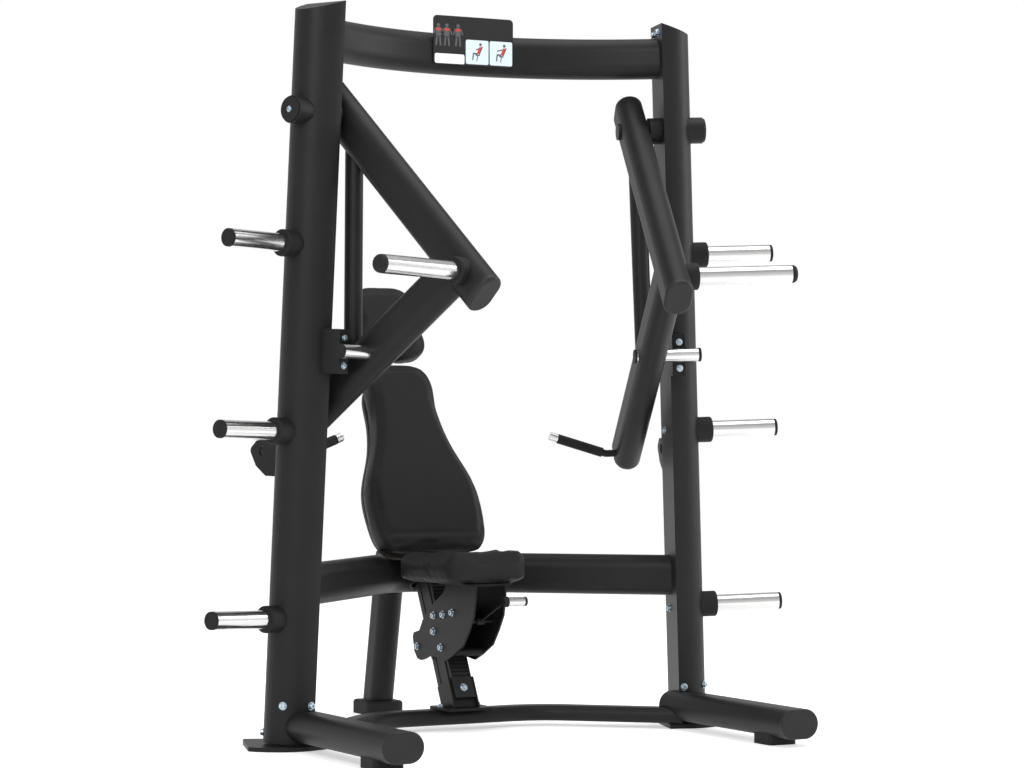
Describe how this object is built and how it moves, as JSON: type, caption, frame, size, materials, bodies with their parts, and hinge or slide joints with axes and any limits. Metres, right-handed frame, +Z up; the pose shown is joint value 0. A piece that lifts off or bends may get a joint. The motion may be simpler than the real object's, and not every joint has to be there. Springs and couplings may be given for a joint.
{
  "type": "plate-loaded chest press machine",
  "caption": "Seated plate-loaded chest press with leaning side columns, independent hinged press arms, storage pegs, reclined back and head pads and a height-adjustable seat.",
  "frame": {"origin": "on the floor, midway between the columns and midway between the foremost and rearmost points", "axes": "+Z up, +Y towards the back of the machine, the user sits facing -Y, +X towards the user's left"},
  "size_m": [1.8118, 1.5004, 2.036],
  "materials": {
    "frame_paint": "charcoal black satin powder coat",
    "black_steel": "black satin powder coat",
    "chrome": "bright, faintly brushed along the length",
    "zinc": "bluish zinc plate",
    "rubber": "fine-grained black rubber",
    "cap_plastic": "satin black moulded plastic",
    "vinyl": "grained black upholstery vinyl",
    "board": "black-stained plywood",
    "placard": "printed plastic sheet over a thin plate",
    "bronze": "oiled bronze"
  },
  "bodies": {
    "base": {"back_pad": "vinyl", "base_plates": "frame_paint", "column_left": "frame_paint", "column_right": "frame_paint", "floor_bar": "frame_paint", "floor_feet": "rubber", "foot_bar_caps": "cap_plastic", "foot_bars": "frame_paint", "frame_bolts": "zinc", "head_pad": "vinyl", "lower_crossbeam": "frame_paint", "lug_plates": "frame_paint", "pad_boards": "board", "pad_spine": "frame_paint", "pivot_bushings": "bronze", "pivot_housings": "frame_paint", "placard": "placard", "post_foot": "black_steel", "post_rack": "cap_plastic", "rear_leg": "frame_paint", "seat_post": "frame_paint", "stop_blocks": "frame_paint", "storage_caps": "rubber", "storage_collars": "rubber", "storage_pegs": "chrome", "strut_rod": "chrome", "top_crossbeam": "frame_paint"},
    "left_arm": {"left_arm_brace": "frame_paint", "left_arm_end_caps": "cap_plastic", "left_arm_grip": "rubber", "left_arm_handle_bar": "black_steel", "left_arm_lower_tube": "frame_paint", "left_arm_peg_collar": "rubber", "left_arm_pivot_bolt": "zinc", "left_arm_pivot_shaft": "frame_paint", "left_arm_rubber_caps": "rubber", "left_arm_stop_peg": "chrome", "left_arm_upper_tube": "frame_paint", "left_arm_work_peg": "chrome"},
    "right_arm": {"right_arm_brace": "frame_paint", "right_arm_end_caps": "cap_plastic", "right_arm_grip": "rubber", "right_arm_handle_bar": "black_steel", "right_arm_lower_tube": "frame_paint", "right_arm_peg_collar": "rubber", "right_arm_pivot_bolt": "zinc", "right_arm_pivot_shaft": "frame_paint", "right_arm_rubber_caps": "rubber", "right_arm_stop_peg": "chrome", "right_arm_upper_tube": "frame_paint", "right_arm_work_peg": "chrome"},
    "seat_carriage": {"seat_frame": "black_steel", "carriage_bolts": "zinc", "carriage_slides": "cap_plastic", "strut_cylinder": "black_steel", "seat_board": "board", "seat_pad": "vinyl"},
    "seat_lever": {"lever_rod": "black_steel", "lever_caps": "rubber", "lever_tip": "chrome"}
  },
  "joints": [
    {"name": "right_arm_press", "type": "hinge", "parent": "base", "child": "right_arm", "pos_m": [0.45896, -0.09954, 1.71957], "axis": [-0.9439, 0.3287, -0.0326], "range_deg": [0, 45]},
    {"name": "left_arm_press", "type": "hinge", "parent": "base", "child": "left_arm", "pos_m": [-0.45896, -0.09954, 1.71957], "axis": [-0.9439, -0.3287, 0.0326], "range_deg": [0, 45]},
    {"name": "seat_height", "type": "slide", "parent": "base", "child": "seat_carriage", "axis": [0, 0.4462, 0.8949], "range_m": [0, 0.08]},
    {"name": "seat_lever", "type": "hinge", "parent": "seat_carriage", "child": "seat_lever", "pos_m": [0, -0.0222, 0.318], "axis": [1, 0, 0], "range_deg": [0, 8], "stiffness_Nm_per_rad": 0.6, "springref_deg": -28.65}
  ]
}
